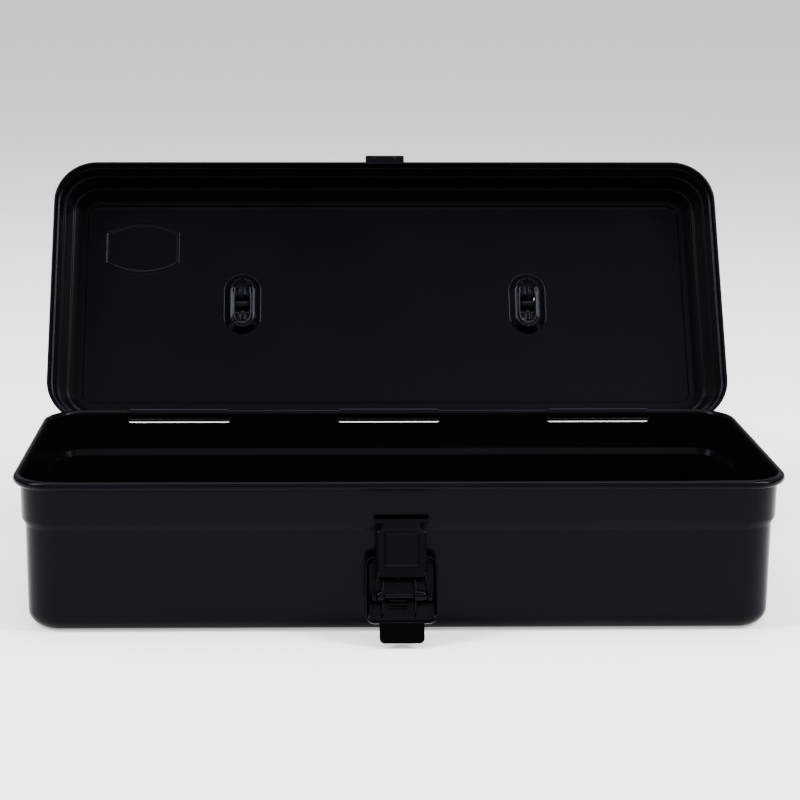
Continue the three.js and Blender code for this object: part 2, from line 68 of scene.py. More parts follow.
BOTTOM_R = 7.0
HINGE_Y = RIM_D / 2 - ROLL / 2
HINGE_Z = BODY_H - ROLL / 2
SLOT_X = (-101.5, 0.0, 101.5)
SLOT_DROP, SLOT_UNDER_ROLL, SLOT_END_GAP = 6.2, 0.8, 0.9
TONGUE_LEN = 48.2
PATCH, PEEL_GRAIN, SPECK = 60, 2.2, 0.35


def linear(hex_code):
    """sRGB hex to linear RGBA."""
    out = []
    for i in (0, 2, 4):
        c = int(hex_code[i:i + 2], 16) / 255
        out.append(c / 12.92 if c <= 0.04045 else ((c + 0.055) / 1.055) ** 2.4)
    return (*out, 1.0)


def add(tree, kind, settings=None, links=None):
    """Adds a shader node, sets its fields and sockets, and links its inputs."""
    n = tree.nodes.new(kind)
    for key, value in (settings or {}).items():
        if key in n.inputs:
            n.inputs[key].default_value = value
        else:
            setattr(n, key, value)
    for key, source in (links or {}).items():
        tree.links.new(source, n.inputs[key])
    return n


def enamel(name, base, high, rough, peel=0.010, gleam=0.045):
    """Baked enamel on steel: a faint orange peel, and a gloss and tint that vary in broad patches."""
    m = bpy.data.materials.new(name)
    m.use_nodes = True
    t = m.node_tree
    t.nodes.clear()
    at = add(t, "ShaderNodeTexCoord").outputs["Object"]
    patches = add(t, "ShaderNodeTexNoise", {"Scale": 1 / (PATCH * MM), "Detail": 3.0}, {"Vector": at})
    grain = add(t, "ShaderNodeTexNoise", {"Scale": 1 / (PEEL_GRAIN * MM), "Detail": 2.0}, {"Vector": at})
    specks = add(t, "ShaderNodeTexNoise", {"Scale": 1 / (SPECK * MM), "Detail": 1.0}, {"Vector": at})
    tint = add(t, "ShaderNodeMix", {"data_type": "RGBA"}, {"Factor": patches.outputs["Fac"]})
    tint.inputs[6].default_value = linear(base)
    tint.inputs[7].default_value = linear(high)
    gloss = add(t, "ShaderNodeMapRange", {"To Min": rough - 0.04, "To Max": rough + 0.05},
                {"Value": patches.outputs["Fac"]})
    wave = add(t, "ShaderNodeBump", {"Strength": 0.35, "Distance": peel * MM},
               {"Height": grain.outputs["Fac"]})
    fine = add(t, "ShaderNodeBump", {"Strength": 0.25, "Distance": 0.004 * MM},
               {"Height": specks.outputs["Fac"], "Normal": wave.outputs["Normal"]})
    skin = add(t, "ShaderNodeBsdfPrincipled",
               {"Metallic": 0.0, "IOR": 1.5, "Specular IOR Level": gleam,
                "Specular Tint": linear("dfe8ff")},
               {"Base Color": tint.outputs[2], "Roughness": gloss.outputs["Result"],
                "Normal": fine.outputs["Normal"]})
    add(t, "ShaderNodeOutputMaterial", {}, {"Surface": skin.outputs["BSDF"]})
    return m


def mesh(name, verts, faces, material, place=None, sharp=32.0):
    """A mesh object from points in millimetres, smooth but for edges over `sharp` degrees."""
    data = bpy.data.meshes.new(name)
    data.from_pydata([Vector(v) * MM for v in verts], [], faces)
    obj = bpy.data.objects.new(name, data)
    bpy.context.scene.collection.objects.link(obj)
    obj.data.materials.append(material)
    tidy(obj, sharp)
    if place is not None:
        obj.matrix_world = place
    return obj


def tidy(obj, sharp=32.0):
    """Joins doubled points, turns the faces outward and marks the sharp edges."""
    b = bmesh.new()
    b.from_mesh(obj.data)
    bmesh.ops.remove_doubles(b, verts=b.verts, dist=1e-6)
    bmesh.ops.recalc_face_normals(b, faces=b.faces)
    for f in b.faces:
        f.smooth = True
    for e in b.edges:
        e.smooth = len(e.link_faces) == 2 and e.calc_face_angle(0) < math.radians(sharp)
    b.to_mesh(obj.data)
    b.free()


def outline(width, depth, radius, steps=16, dx=0.0, dy=0.0):
    """Rounded rectangle, counter-clockwise, with extra points near each end of its straight sides."""
    radius = max(radius, 0.02)
    points = []
    for corner, (sx, sy) in enumerate(((1, 1), (-1, 1), (-1, -1), (1, -1))):
        cx, cy = sx * (width / 2 - radius), sy * (depth / 2 - radius)
        for i in range(steps + 1):
            a = math.radians(90 * corner + 90 * i / steps)
            points.append((cx + radius * math.cos(a) + dx, cy + radius * math.sin(a) + dy))
    out = []
    for i, p in enumerate(points):
        out.append(p)
        if i % (steps + 1) == steps:
            q = points[(i + 1) % len(points)]
            for f in (0.01, 0.25, 0.5, 0.75, 0.99):
                out.append((p[0] + (q[0] - p[0]) * f, p[1] + (q[1] - p[1]) * f))
    return out


def loft(levels, cap_start=True, cap_end=True):
    """Points and faces joining equal-length outlines, each (points, z)."""
    n = len(levels[0][0])
    verts = [(x, y, z) for points, z in levels for x, y in points]
    faces = []
    for k in range(len(levels) - 1):
        for i in range(n):
            j = (i + 1) % n
            faces.append((k * n + i, k * n + j, (k + 1) * n + j, (k + 1) * n + i))
    if cap_start:
        faces.append(tuple(range(n - 1, -1, -1)))
    if cap_end:
        faces.append(tuple(range((len(levels) - 1) * n, len(levels) * n)))
    return verts, faces


def offset(path, distance):
    """The path moved to its left by a distance."""
    out = []
    for i, p in enumerate(path):
        a = Vector(path[max(i - 1, 0)])
        b = Vector(path[min(i + 1, len(path) - 1)])
        p = Vector(p)
        into = (p - a).normalized() if i > 0 else (b - p).normalized()
        away = (b - p).normalized() if i < len(path) - 1 else into
        normal = Vector((-(into.y + away.y), into.x + away.x)).normalized()
        across = max(-normal.x * into.y + normal.y * into.x, 0.5)
        out.append(tuple(p + normal * (distance / across)))
    return out


def arc(cx, cy, radius, start, end, steps):
    """Points along part of a circle, from one angle in degrees to another."""
    angles = [math.radians(start + (end - start) * i / steps) for i in range(steps + 1)]
    return [(cx + radius * math.cos(a), cy + radius * math.sin(a)) for a in angles]


def cut(obj, cutters, sharp=32.0):
    """Takes the cutters away from obj for good."""
    for c in cutters:
        m = obj.modifiers.new(c.name, "BOOLEAN")
        m.operation = "DIFFERENCE"
        m.solver = "EXACT"
        m.object = c
    bpy.context.view_layer.update()
    evaluated = obj.evaluated_get(bpy.context.evaluated_depsgraph_get())
    result = bpy.data.meshes.new_from_object(evaluated)
    obj.modifiers.clear()
    obj.data = result
    for c in cutters:
        bpy.data.objects.remove(c)
    tidy(obj, sharp)


def slab(name, points, axis, lo, hi, material, place=None, sharp=32.0):
    """A flat outline pushed from lo to hi along X, Y or Z. Points hold the other two coordinates."""
    def at(p, v):
        return {"X": (v, p[0], p[1]), "Y": (p[0], v, p[1]), "Z": (p[0], p[1], v)}[axis]
    n = len(points)
    verts = [at(p, lo) for p in points] + [at(p, hi) for p in points]
    faces = [tuple(range(n)), tuple(range(2 * n - 1, n - 1, -1))]
    faces += [(i, (i + 1) % n, n + (i + 1) % n, n + i) for i in range(n)]
    return mesh(name, verts, faces, material, place, sharp)


def bead(obj, width, segments=3):
    """Rounds the edges of a sheet-metal piece as a press tool and paint leave them."""
    m = obj.modifiers.new("edge", "BEVEL")
    m.width = width * MM
    m.segments = segments
    m.limit_method = "ANGLE"
    m.angle_limit = math.radians(40)
    m.harden_normals = False
    return obj


# Sprayed and baked: a deep black with a soft even sheen.
black = enamel("Black baked enamel on pressed steel, semi-gloss", "030304", "050507", 0.2)

lower = LOWER_IN + SHEET / 2
upper = ROLL - SHEET / 2
spine = arc(lower + BOTTOM_R, SHEET / 2 + BOTTOM_R, BOTTOM_R, 270, 180, 12)
step_foot, step_head = STEP_Z - STEP_RISE / 2, STEP_Z + STEP_RISE / 2
spine += [(lower, step_foot - 0.6), (lower - 0.12, step_foot + 0.1)]
spine += [(upper + 0.12, step_head - 0.1), (upper, step_head + 0.6)]
spine += arc(ROLL / 2, HINGE_Z, ROLL / 2 - SHEET / 2, 0, 270, 24)
section = offset(spine, SHEET / 2) + offset(spine, -SHEET / 2)[::-1]
levels = [(outline(RIM_W - 2 * e, RIM_D - 2 * e, RIM_R - e), z) for e, z in section]
body = mesh("pan", *loft(levels), black)
cutters = []
for i, x in enumerate(SLOT_X):
    z0, z1 = BODY_H - SLOT_DROP, HINGE_Z - SLOT_UNDER_ROLL
    r = (z1 - z0) / 2
    half = TONGUE_LEN / 2 + SLOT_END_GAP - r
    shape = [(x + half + px, (z0 + z1) / 2 + pz) for px, pz in arc(0, 0, r, -90, 90, 10)]
    shape += [(x - half + px, (z0 + z1) / 2 + pz) for px, pz in arc(0, 0, r, 90, 270, 10)]
    wall = RIM_D / 2 - ROLL
    cutters.append(slab(f"slot {i}", shape, "Y", wall - 0.5, wall + SHEET + 0.2, black))
cut(body, cutters)
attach(body, "body")
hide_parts("body_pan")

# ---------------------------------------------------------------------------
# Lid: one shallow pressing of the same sheet with a hemmed edge, soft ledges round its side, a raised
# panel with two handle seats and bridges, and a blank barrel-shaped mark. Its hinge tongues and its
# keeper are its own sheet, left long and bent.
# ---------------------------------------------------------------------------
LID_W, LID_D, LID_R = 333.0, 137.0, 21.2
EDGE_Z = BODY_H - 1.0 - HINGE_Z
PANEL_IN, PANEL_Z = 15.8, 22.6
SEAT_X, SEAT_W, SEAT_L, SEAT_DEEP = 72.2, 18.8, 32.6, 2.0
SEAT_DROP, DROP_RUN = 3.0, 3.6
SEAT_BACK, BACK_FROM, BACK_RUN = 0.95, 3.75, 1.8
SEAT_SPAN = 10.5
WINDOW_W, WINDOW_L = 6.9, 16.0
FLARE, FLARE_RUN = 1.0, 5.5
MARK_X, MARK_Y, MARK_W, MARK_H = -123.1, -30.5, 37.7, 17.0
MARK_BULGE, MARK_DEEP, MARK_BACK = 5.6, 0.45, 0.25
FINE, COARSE = 0.45, 6
OPEN = 120.7
LID_AT = Matrix.Translation((0, HINGE_Y * MM, HINGE_Z * MM))
LID_AT = LID_AT @ Matrix.Rotation(math.radians(-OPEN), 4, "X")
TOP_Z = EDGE_Z + PANEL_Z + SHEET

inside = [(PANEL_IN, PANEL_Z), (PANEL_IN - 0.45, PANEL_Z - 0.06), (PANEL_IN - 1.0, PANEL_Z - 0.98),
          (PANEL_IN - 1.4, PANEL_Z - 1.0), (12.4, PANEL_Z - 1.0), (9.25, 15.7)]


def ledge(x, z, run=1.1, rise=0.75):
    """A small soft step pressed into the lid's side, listed from its inner end to its outer one."""
    half = ((0.5, 0.62), (0.42, 0.38), (0.26, 0.19))
    marks = (*half, (0.0, 0.0), *[(-a, -b) for a, b in half[::-1]])
    return [(x + run * a, z + rise * b * (1.0 if abs(b) > 0.5 else 0.7)) for a, b in marks]


inside += ledge(8.6, 14.9)
inside += ledge(4.6, 8.25, 1.2)
inside += ledge(2.15, 3.6, 0.8, 0.7)
inside += [(1.5, 0.7)]
outside = offset(inside, -SHEET)[:-1]
hem = [(1.35, 0.25), (1.05, 0.0), (0.35, 0.0), (0.1, 0.12), (0.0, 0.4), (0.0, 1.8), (0.12, 2.15)]
hem += [(0.5, 2.3), (1.3, 2.5)]
section = inside + hem + outside[::-1]
rect = (LID_W - 2 * PANEL_IN - 4, LID_D - 2 * PANEL_IN - 4)
levels = [(outline(rect[0], rect[1], 0.02, dy=-HINGE_Y), PANEL_Z + EDGE_Z)]
for e, h in section:
    levels.append((outline(LID_W - 2 * e, LID_D - 2 * e, LID_R - e, dy=-HINGE_Y), h + EDGE_Z))
levels += [(outline(rect[0], rect[1], 0.02, dy=-HINGE_Y), PANEL_Z + SHEET + EDGE_Z)]
verts, faces = loft(levels, False, False)


def smooth(t):
    """An eased rise from 0 to 1."""
    t = min(max(t, 0.0), 1.0)
    return t * t * (3 - 2 * t)


def ramp(t):
    """A straight slope from 0 to 1 with softened ends."""
    t = min(max(t, 0.0), 1.0)
    return 0.7 * t + 0.3 * smooth(t)


def pressing(x, y):
    """How far the panel is pressed outward at a place, measured from the lid's middle."""
    rise = 0.0
    for side in (-1, 1):
        run = (SEAT_L - SEAT_W) / 2
        d = math.hypot(x - side * SEAT_X, y - min(max(y, -run), run)) - SEAT_W / 2
        rise += SEAT_BACK * ramp((-d - BACK_FROM) / BACK_RUN) - SEAT_DROP * ramp(-d / DROP_RUN)
        flare = math.hypot(x - side * SEAT_X, (abs(y) - WINDOW_L / 2 + 0.2) * 1.1)
        rise += FLARE * smooth(1 - flare / FLARE_RUN)
    px = (x - MARK_X) / (MARK_W / 2)
    bulge = MARK_H / 2 + MARK_BULGE * (1 - px * px)
    d = max(abs(x - MARK_X) - MARK_W / 2, abs(y - MARK_Y) - bulge)
    return rise - MARK_DEEP * smooth(-d / 1.0) + MARK_BACK * smooth((-d - 1.2) / 0.8)


def lines(lo, hi, fine_spans, fine, coarse):
    """Grid lines from lo to hi, close together inside the fine spans."""
    marks = sorted({lo, hi, *[v for s in fine_spans for v in s]})
    out = [lo]
    for a, b in zip(marks, marks[1:]):
        close = any(s[0] <= a and b <= s[1] for s in fine_spans)
        n = max(1, math.ceil((b - a) / (fine if close else coarse)))
        out += [a + (b - a) * i / n for i in range(1, n + 1)]
    return out


spans_x = [(MARK_X - 20.5, MARK_X + 20.5)]
for side in (-1, 1):
    c = side * SEAT_X
    left, right = c - WINDOW_W / 2, c + WINDOW_W / 2
    spans_x += [(c - SEAT_SPAN, left), (left, right), (right, c + SEAT_SPAN)]
low, high = -WINDOW_L / 2, WINDOW_L / 2
spans_y = [(-46.0, -17.5), (-17.5, low), (low, high), (high, 17.5)]
xs = lines(-rect[0] / 2, rect[0] / 2, spans_x, FINE, COARSE)
ys = lines(-rect[1] / 2, rect[1] / 2, spans_y, FINE, COARSE)


def open_here(i, j):
    """Whether a square of the panel's grid lies in one of the two windows."""
    x, y = (xs[i] + xs[i + 1]) / 2, (ys[j] + ys[j + 1]) / 2
    return abs(abs(x) - SEAT_X) < WINDOW_W / 2 and abs(y) < WINDOW_L / 2


start = len(verts)
ny = len(ys)
count = len(xs) * ny
for under in (0.0, SHEET):
    for x in xs:
        verts += [(x, y - HINGE_Y, EDGE_Z + PANEL_Z + under + pressing(x, y)) for y in ys]
for i in range(len(xs) - 1):
    for j in range(ny - 1):
        if open_here(i, j):
            continue
        a = start + i * ny + j
        faces.append((a, a + 1, a + ny + 1, a + ny))
        faces.append((a + count, a + count + ny, a + count + ny + 1, a + count + 1))
        sides = ((-1, 0, a, a + 1), (1, 0, a + ny, a + ny + 1), (0, -1, a, a + ny),
                 (0, 1, a + 1, a + ny + 1))
        for di, dj, p, q in sides:
            if 0 <= i + di < len(xs) - 1 and 0 <= j + dj < ny - 1 and open_here(i + di, j + dj):
                faces.append((p, q, q + count, p + count))
lid = mesh("lid", verts, faces, black, LID_AT)
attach(lid, "lid")
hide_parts("lid_shell")


def strip(name, path, thickness, x0, x1, place, crown=0.0, cross=6):
    """A bent strip of sheet: its middle line in Y-Z, swept across X, with an optional rib."""
    outer, inner = offset(path, thickness / 2), offset(path, -thickness / 2)
    n = len(path)
    verts, faces = [], []
    for s in range(cross + 1):
        t = s / cross
        x = x0 + (x1 - x0) * t
        lift = crown * smooth(1.5 - abs(x - (x0 + x1) / 2) / 1.2)
        raised = offset(path, thickness / 2 + lift) if crown else outer
        dropped = offset(path, lift - thickness / 2) if crown else inner
        verts += [(x, y, z) for y, z in raised] + [(x, y, z) for y, z in dropped]
    row = 2 * n
    for s in range(cross):
        for i in range(n - 1):
            a = s * row + i
            faces.append((a, a + 1, a + row + 1, a + row))
            b = a + n
            faces.append((b, b + row, b + row + 1, b + 1))
        for i in (0, n - 1):
            a = s * row + i
            faces.append((a, a + row, a + row + n, a + n))
    for s in (0, cross):
        for i in range(n - 1):
            a = s * row + i
            faces.append((a, a + n, a + n + 1, a + 1))
    return mesh(name, verts, faces, black, place)


TONGUE_R, TONGUE_SHEET = 2.6, 0.7
KEEPER_HALF, KEEPER_SHEET = 9.7, 0.9
KEEPER_OUT, KEEPER_BEND, KEEPER_FACE, KEEPER_UP = 2.6, 0.85, 3.45, 3.7
for k, x in enumerate(SLOT_X):
    angles = [math.radians(a) for a in range(30, -165, -8)]
    path = [(TONGUE_R * math.cos(a), TONGUE_R * math.sin(a)) for a in angles]
    x0, x1 = x - TONGUE_LEN / 2, x + TONGUE_LEN / 2
    tongue = strip(f"hinge_tongue_{k + 1}", path, TONGUE_SHEET, x0, x1, LID_AT, cross=1)
    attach(bead(tongue, 0.15), "lid")
front = -LID_D / 2 - HINGE_Y
path = [(front + 0.7, EDGE_Z + 0.45), (front - KEEPER_OUT, EDGE_Z + 0.45)]
for a in (22, 45, 68, 90):
    turn = math.radians(a)
    path.append((front - KEEPER_OUT - KEEPER_BEND * math.sin(turn),
                 EDGE_Z + 1.3 - KEEPER_BEND * math.cos(turn)))
path += [(front - KEEPER_FACE, EDGE_Z + KEEPER_UP)]
keeper = strip("keeper_tongue", path, KEEPER_SHEET, -KEEPER_HALF, KEEPER_HALF, LID_AT, cross=1)
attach(bead(keeper, 0.2), "lid")


def circle(radius, steps):
    """Points round a circle about the origin."""
    angles = [2 * math.pi * i / steps for i in range(steps)]
    return [(radius * math.cos(a), radius * math.sin(a)) for a in angles]


for k, x in enumerate((-5.1, 5.1)):
    at = LID_AT @ Matrix.Translation((x * MM, (front - 1.7) * MM, (EDGE_Z + 0.02) * MM))
    at = at @ Matrix.Rotation(math.pi, 4, "X")
    pip = ((0.8, -0.2), (0.8, 0.0), (0.7, 0.18), (0.45, 0.3), (0.05, 0.34))
    rings = [(circle(r, 20), z) for r, z in pip]
    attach(mesh(f"keeper_pip_{k + 1}", *loft(rings), black, at, 60), "lid")
floor_z = TOP_Z - SEAT_DEEP
BRIDGE_HALF, BRIDGE_RIB = 3.58, -0.7
half = [(WINDOW_L / 2 + 0.7, 0.55), (6.5, 0.5), (5.2, 0.55), (4.5, 0.75), (3.95, 1.3), (3.55, 2.1)]
half = half + arc(0, 2.8, 3.25, 6, 90, 10)
path = [(-HINGE_Y - y, floor_z + z) for y, z in half]
path += [(-HINGE_Y + y, floor_z + z) for y, z in half[-2::-1]]
for side, hand in ((-1, "left"), (1, "right")):
    x0, x1 = side * SEAT_X - BRIDGE_HALF, side * SEAT_X + BRIDGE_HALF
    bridge = strip(f"handle_bridge_{hand}", path, SHEET, x0, x1, LID_AT, crown=BRIDGE_RIB, cross=24)
    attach(bridge, "lid")

# ---------------------------------------------------------------------------
# Handle: one length of 5 mm round steel rod, bent to a flat U, its ends turned in under the lid's
# bridges so that it swings freely. Black enamel like the rest.
# ---------------------------------------------------------------------------
ROD_R = 2.5
REACH = 27.0
ARM = SEAT_X + 6.1
END = SEAT_X - 5.4
HANG = 30.7
ROD_EASE = 0.35
# Rod and pins: a shade lighter and duller than the pressed sheet, with less orange peel.
satin = enamel("Black enamel on steel rod and pins, satin", "040405", "060608", 0.25, 0.006)


def fillet(points, radii, steps=8):
    """A polyline with its inner corners rounded."""
    out = [Vector(points[0])]
    for a, p, b, r in zip(points, points[1:], points[2:], radii):
        a, p, b = Vector(a), Vector(p), Vector(b)
        u, v = (a - p).normalized(), (b - p).normalized()
        for i in range(steps + 1):
            t = i / steps
            q0, q1 = p + u * r, p + v * r
            w = 2 ** -0.5
            k0, k1, k2 = (1 - t) ** 2, 2 * t * (1 - t) * w, t * t
            out.append((q0 * k0 + p * k1 + q1 * k2) / (k0 + k1 + k2))
    out.append(Vector(points[-1]))
    return out


def rod(name, points, radius, material, place, around=20):
    """A round rod along points in the X-Y plane, with its end edges eased."""
    rings = []
    n = len(points)
    for i, p in enumerate(points):
        a = points[max(i - 1, 0)]
        b = points[min(i + 1, n - 1)]
        d = (b - a).normalized()
        side = Vector((-d.y, d.x, 0))
        if i in (0, n - 1):
            outward = d * (-ROD_EASE if i == 0 else ROD_EASE)
            ends = [(p, radius - ROD_EASE), (p - outward, radius)]
            rings += [(q, side, r) for q, r in (ends if i == 0 else ends[::-1])]
        else:
            rings.append((p, side, radius))
    verts, faces = [], []
    for p, side, r in rings:
        for k in range(around):
            t = 2 * math.pi * k / around
            verts.append(tuple(p + side * (r * math.cos(t)) + Vector((0, 0, r * math.sin(t)))))
    for i in range(len(rings) - 1):
        for k in range(around):
            j = (k + 1) % around
            a, b = i * around, (i + 1) * around
            faces.append((a + k, a + j, b + j, b + k))
    last = (len(rings) - 1) * around
    faces.append(tuple(range(around)))
    faces.append(tuple(range(last + around - 1, last - 1, -1)))
    return mesh(name, verts, faces, material, place, 50)


corner = [(-END, 0, 0), (-ARM, 0, 0), (-ARM, REACH, 0), (ARM, REACH, 0), (ARM, 0, 0), (END, 0, 0)]
handle_at = LID_AT @ Matrix.Translation((0, -HINGE_Y * MM, (floor_z + 0.3 + ROD_R) * MM))
handle_at = handle_at @ Matrix.Rotation(math.radians(HANG), 4, "X")
handle = rod("handle_rod", fillet(corner, (2.9, 7.0, 7.0, 2.9)), ROD_R, satin, handle_at)
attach(handle, "handle")
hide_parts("handle")

# ---------------------------------------------------------------------------
# Latch base: a bracket of 0.7 mm sheet on the front wall, two ears bent out of it to hold the lever's
# pin, and the two domed rivets that hold it on.
# ---------------------------------------------------------------------------
WALL_Y = -(RIM_D / 2 - LOWER_IN)
PIVOT_OUT, PIVOT_Z = 7.9, 29.2
LEAN_X = -1.2
EAR_R = 2.4
THIN = 0.7
GAP = 0.3
LEVER_EAR_IN = 6.5
BASE_IN = LEVER_EAR_IN + THIN + GAP
BASE_H = 21.1
RIVET_R, RIVET_H, RIVET_DROP = 2.3, 0.9, (13.0, 6.5)


def joined(name, objs, sharp=32.0):
    """One object from several."""
    b = bmesh.new()
    for o in objs:
        o.data.transform(o.matrix_world)
        b.from_mesh(o.data)
    data = bpy.data.meshes.new(name)
    b.to_mesh(data)
    b.free()
    for m in objs[0].data.materials:
        data.materials.append(m)
    for o in objs:
        bpy.data.objects.remove(o)
    obj = bpy.data.objects.new(name, data)
    bpy.context.scene.collection.objects.link(obj)
    tidy(obj, sharp)
    return obj


def dome(name, radius, height, material, place, around=28, rings=6):
    """A low round head standing up from z = 0."""
    levels = []
    for i in range(rings + 1):
        t = math.radians(90 * i / rings)
        r = max(radius * math.cos(t), 0.02)
        levels.append((circle(r, around), height * math.sin(t)))
    return mesh(name, *loft(levels), material, place, 60)


back = WALL_Y - GAP
plate = outline(2 * (BASE_IN + THIN), BASE_H, 1.2, 5, dy=PIVOT_Z + EAR_R - BASE_H / 2)
plate = [(LEAN_X + px, pz) for px, pz in plate]
parts = [slab("plate", plate, "Y", back - THIN, back, satin)]
ear = [(back - 0.35, PIVOT_Z - EAR_R), (back - 0.35, PIVOT_Z + EAR_R)]
ear += arc(WALL_Y - PIVOT_OUT, PIVOT_Z, EAR_R, 90, 270, 14)
for x0 in (LEAN_X - BASE_IN - THIN, LEAN_X + BASE_IN):
    parts.append(slab("ear", ear, "X", x0, x0 + THIN, satin))
base = joined("base_bracket", parts)
bead(base, 0.12, 2)
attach(base, "body")
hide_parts("latch_base")
for k, drop in enumerate(RIVET_DROP):
    heads = []
    for y, turn in ((back - THIN - GAP, 90), (WALL_Y + SHEET + GAP, -90)):
        at = Matrix.Translation((LEAN_X * MM, y * MM, (PIVOT_Z - drop) * MM))
        at = at @ Matrix.Rotation(math.radians(turn), 4, "X")
        heads.append(dome("head", RIVET_R, RIVET_H, satin, at))
    rivet = joined(f"rivet_{k + 1}", heads, 60)
    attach(rivet, "body")
    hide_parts(f"base_rivet_{k + 1}")

# ---------------------------------------------------------------------------
# Pins: two short steel pins with low domed heads, one through the base's ears for the lever and one
# through the lever's ears for the link. Black enamel like the rest of the latch.
# ---------------------------------------------------------------------------
LEVER_TURN = 154
PIVOT_AT = Matrix.Translation((0, (WALL_Y - PIVOT_OUT) * MM, PIVOT_Z * MM))
LEVER_AT = PIVOT_AT @ Matrix.Rotation(math.radians(LEVER_TURN), 4, "X")
PIN_R, HEAD_R, HEAD_H = 1.1, 2.1, 0.8
PIN_UP, PIN_BACK = 9.9, 2.5
LINK_W = 20.9
LEG_OUT = LINK_W / 2 + 1.3


def headed_pin(name, x0, x1, place):
    """A pin along X with a low domed head at each end."""
    pieces = [rod("shank", [Vector((x0 - 0.2, 0, 0)), Vector((x1 + 0.2, 0, 0))], PIN_R, satin, place)]
    for x, turn in ((x0, -90), (x1, 90)):
        at = place @ Matrix.Translation((x * MM, 0, 0)) @ Matrix.Rotation(math.radians(turn), 4, "Y")
        pieces.append(dome("head", HEAD_R, HEAD_H, satin, at, 24, 5))
    return joined(name, pieces, 60)


reach = BASE_IN + THIN + GAP
pin = headed_pin("pin_of_lever", LEAN_X - reach, LEAN_X + reach, PIVOT_AT)
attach(pin, "body")
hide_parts("pivot_pin")
at = LEVER_AT @ Matrix.Translation((0, PIN_BACK * MM, PIN_UP * MM))
pin = headed_pin("pin_of_link", -LEG_OUT - GAP, LEG_OUT + GAP, at)
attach(pin, "lever")
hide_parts("link_pin")

# ---------------------------------------------------------------------------
# Lever: one dished pressing with a rounded raised edge, a plain finger tab bent from its end, and two
# ears that carry the pins. Black enamel over the whole piece.
# ---------------------------------------------------------------------------
LEVER_W, ABOVE, BELOW, DEEP = 30.6, 21.2, 7.2, 3.2
RIM_LOW, RIM_ROUND, LEVER_R = 0.3, 1.6, 4
FACE = RIM_LOW + DEEP
FLOOR = FACE - SHEET
TAB_HALF, TAB_LONG, TAB_R = 9.45, 8.3, 2.2
dish = [(1.9, FLOOR), (1.45, FLOOR - 0.1), (1.0, FLOOR - 0.45), (0.85, FLOOR - 0.95),
        (0.8, RIM_LOW + 0.15), (0.65, RIM_LOW), (0.15, RIM_LOW), (0.0, RIM_LOW + 0.15)]
for a in range(0, 91, 15):
    turn = math.radians(a)
    dish.append((RIM_ROUND - RIM_ROUND * math.cos(turn),
                 FACE - RIM_ROUND + RIM_ROUND * math.sin(turn)))
levels = []
for e, z in dish:
    edge = outline(LEVER_W - 2 * e, ABOVE + BELOW - 2 * e, LEVER_R - e, 10, dy=(ABOVE - BELOW) / 2)
    levels.append((edge, z))
upright = LEVER_AT @ Matrix.Rotation(math.radians(90), 4, "X")
lever = mesh("lever_dish", *loft(levels), black, upright)
left, right = LEAN_X - (BASE_IN + THIN + 0.6), LEAN_X + (BASE_IN + THIN + 0.6)
notch = [(left, -BELOW - 1), (right, -BELOW - 1), (right, 2.1), (left, 2.1)]
cut(lever, [slab("notch", notch, "Z", -0.5, FACE + 0.5, black, upright)])
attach(lever, "lever")
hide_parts("latch_lever")
tab = [(TAB_HALF, ABOVE - 0.4)]
tab += arc(TAB_HALF - TAB_R, ABOVE + TAB_LONG - TAB_R, TAB_R, 0, 90, 9)
tab += [(-px, pz) for px, pz in tab[::-1]]
# Fingers rub the tab, so it mirrors least.
dull = enamel("Black baked enamel on the finger tab, rubbed matt", "010101", "020203", 0.3, 0.02, 0.012)
tab = slab("finger_tab", tab, "Z", RIM_LOW, RIM_LOW + SHEET, dull, upright)
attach(bead(tab, 0.25), "lever")
ear = arc(0, 0, EAR_R, -90, 30, 8)[:-1] + arc(PIN_BACK, PIN_UP, EAR_R, -20, 75, 8)
ear += [(-0.6, 16.4), (-2.2, 18.1), (-(FACE - 0.4), 18.6), (-(FACE - 0.4), EAR_R)]
for k, (x0, out) in enumerate(((LEAN_X - LEVER_EAR_IN - THIN, -1), (LEAN_X + LEVER_EAR_IN, 1))):
    piece = slab(f"lever_ear_{k + 1}", ear, "X", x0, x0 + THIN, black, LEVER_AT)
    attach(bead(piece, 0.12, 2), "lever")
    face_x = x0 + (THIN if out > 0 else 0)
    at = LEVER_AT @ Matrix.Translation((face_x * MM, PIN_BACK * MM, PIN_UP * MM))
    at = at @ Matrix.Rotation(math.radians(90 * out), 4, "Y")
    reach = LEG_OUT - THIN - GAP - abs(face_x)
    swell = ((2.4, 0.0), (2.35, reach * 0.4), (2.0, reach * 0.75), (1.5, reach), (1.2, reach))
    rings = [(circle(r, 28), z) for r, z in swell]
    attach(mesh(f"lever_boss_{k + 1}", *loft(rings), black, at, 50), "lever")
for k, up in enumerate((11.2, 14.2)):
    turns = [math.radians(a) for a in range(0, 181, 15)]
    rib = [(-FLOOR + 1.3 * math.sin(a), up - 0.8 * math.cos(a)) for a in turns]
    piece = slab(f"lever_rib_{k + 1}", rib, "X", LEAN_X - 3.6, LEAN_X + 3.2, black, LEVER_AT)
    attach(piece, "lever")
cheek = [(-FLOOR, 9.8), (-0.9, 10.2), (-0.9, 12.6), (-FLOOR, 16.0)]
for k, x0 in enumerate((LEAN_X - 4.3, LEAN_X + 3.5)):
    piece = slab(f"lever_cheek_{k + 1}", cheek, "X", x0, x0 + THIN, black, LEVER_AT)
    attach(bead(piece, 0.15, 2), "lever")

# ---------------------------------------------------------------------------
# Link: one pressed plate with a raised square, its lower corners turned into two legs on the link pin
# and its top rolled into the hook. Black enamel.
# ---------------------------------------------------------------------------
HOOK_IN = 1.0
HOOK_OUT = HOOK_IN + THIN
PLATE_LOW = 8.4
LATCHED_TURN = 5
GRIP = Vector((9.6, 70))
SQUARE, SQUARE_UP = 7.6, 0.6
HOOK_NECK, HOOK_PAST = 2.3, 1.2


